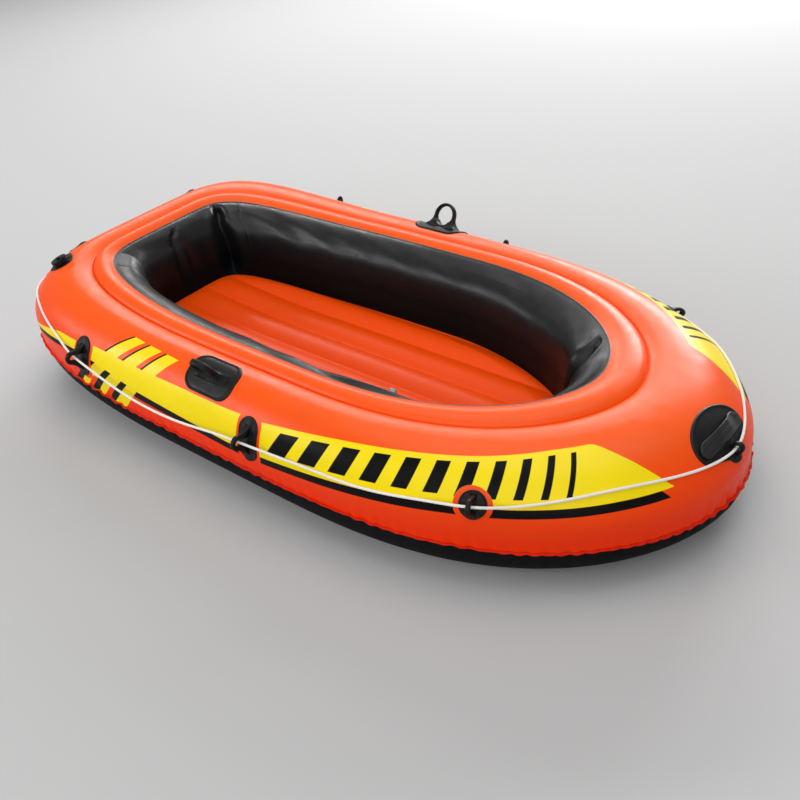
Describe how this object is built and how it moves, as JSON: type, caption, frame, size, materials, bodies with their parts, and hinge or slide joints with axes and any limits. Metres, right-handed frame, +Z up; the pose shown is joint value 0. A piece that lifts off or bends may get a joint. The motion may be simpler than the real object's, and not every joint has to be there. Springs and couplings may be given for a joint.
{
  "type": "inflatable boat",
  "caption": "Two-person inflatable boat: welded vinyl hull round a black cockpit, channelled air floor, oarlocks, rope guides, grab rope, bow handle, air valves.",
  "frame": {"origin": "on the ground under the middle of the hull's length and beam", "axes": "+X to the bow, +Y to port, +Z up"},
  "size_m": [1.9815, 1.0848, 0.3458],
  "materials": {
    "hull_orange": "satin vinyl",
    "floor_orange": "satin vinyl",
    "hull_black": "satin vinyl",
    "inner_vinyl": "plain vinyl web",
    "moulded_black": "matt moulded vinyl",
    "rope_white": "braided cord",
    "valve_clear": "soft milky vinyl"
  },
  "bodies": {
    "hull": {"hull_top_skin": "hull_orange", "hull_bottom_skin": "hull_black", "cockpit_wall_skin": "hull_black", "chamber_divider": "inner_vinyl", "floor_top_sheet": "floor_orange", "floor_bottom_sheet": "hull_black", "floor_web_1": "inner_vinyl", "floor_web_2": "inner_vinyl", "floor_web_3": "inner_vinyl", "floor_web_4": "inner_vinyl", "oarlock_starboard": "moulded_black", "oarlock_port": "moulded_black", "rope_guide_starboard_aft": "moulded_black", "rope_guide_starboard_mid": "moulded_black", "rope_guide_starboard_fore": "moulded_black", "rope_guide_starboard_stern": "moulded_black", "rope_guide_port_aft": "moulded_black", "rope_guide_port_mid": "moulded_black", "rope_guide_port_fore": "moulded_black", "rope_guide_port_stern": "moulded_black", "bow_handle_base": "moulded_black", "bow_handle_grip": "moulded_black", "grab_rope": "rope_white", "rope_knot": "rope_white", "main_valve_base": "moulded_black", "main_valve_tether": "moulded_black", "inner_valve_flange": "valve_clear", "floor_valve_flange": "valve_clear"},
    "valve_body": {"main_valve_body": "moulded_black"},
    "valve_cap": {"main_valve_cap": "moulded_black"},
    "valve_flap": {"main_valve_flap": "moulded_black"},
    "inner_stem": {"inner_valve_stem": "valve_clear"},
    "inner_plug": {"inner_valve_plug": "valve_clear"},
    "floor_stem": {"floor_valve_stem": "valve_clear"},
    "floor_plug": {"floor_valve_plug": "valve_clear"}
  },
  "joints": [
    {"name": "main_valve_body_turn", "type": "hinge", "parent": "hull", "child": "valve_body", "pos_m": [-0.88193, -0.31514, 0.31758], "axis": [-0.2508, -0.2392, 0.938], "range_deg": [0, 450]},
    {"name": "main_valve_cap_turn", "type": "hinge", "parent": "valve_body", "child": "valve_cap", "pos_m": [-0.88193, -0.31514, 0.31758], "axis": [-0.2508, -0.2392, 0.938], "range_deg": [0, 360]},
    {"name": "main_valve_flap_open", "type": "hinge", "parent": "valve_body", "child": "valve_flap", "pos_m": [-0.86742, -0.30565, 0.31077], "axis": [0.5199, -0.8507, -0.078], "range_deg": [0, 60], "stiffness_Nm_per_rad": 0.001, "springref_deg": -22.92},
    {"name": "inner_valve_stem_push", "type": "slide", "parent": "hull", "child": "inner_stem", "axis": [0.1653, -0.8639, -0.4758], "range_m": [0, 0.012]},
    {"name": "inner_valve_plug_pull", "type": "slide", "parent": "inner_stem", "child": "inner_plug", "axis": [-0.1653, 0.8639, 0.4758], "range_m": [0, 0.014]},
    {"name": "floor_valve_stem_push", "type": "slide", "parent": "hull", "child": "floor_stem", "axis": [0, 0, -1], "range_m": [0, 0.012]},
    {"name": "floor_valve_plug_pull", "type": "slide", "parent": "floor_stem", "child": "floor_plug", "axis": [0, 0, 1], "range_m": [0, 0.014]}
  ]
}
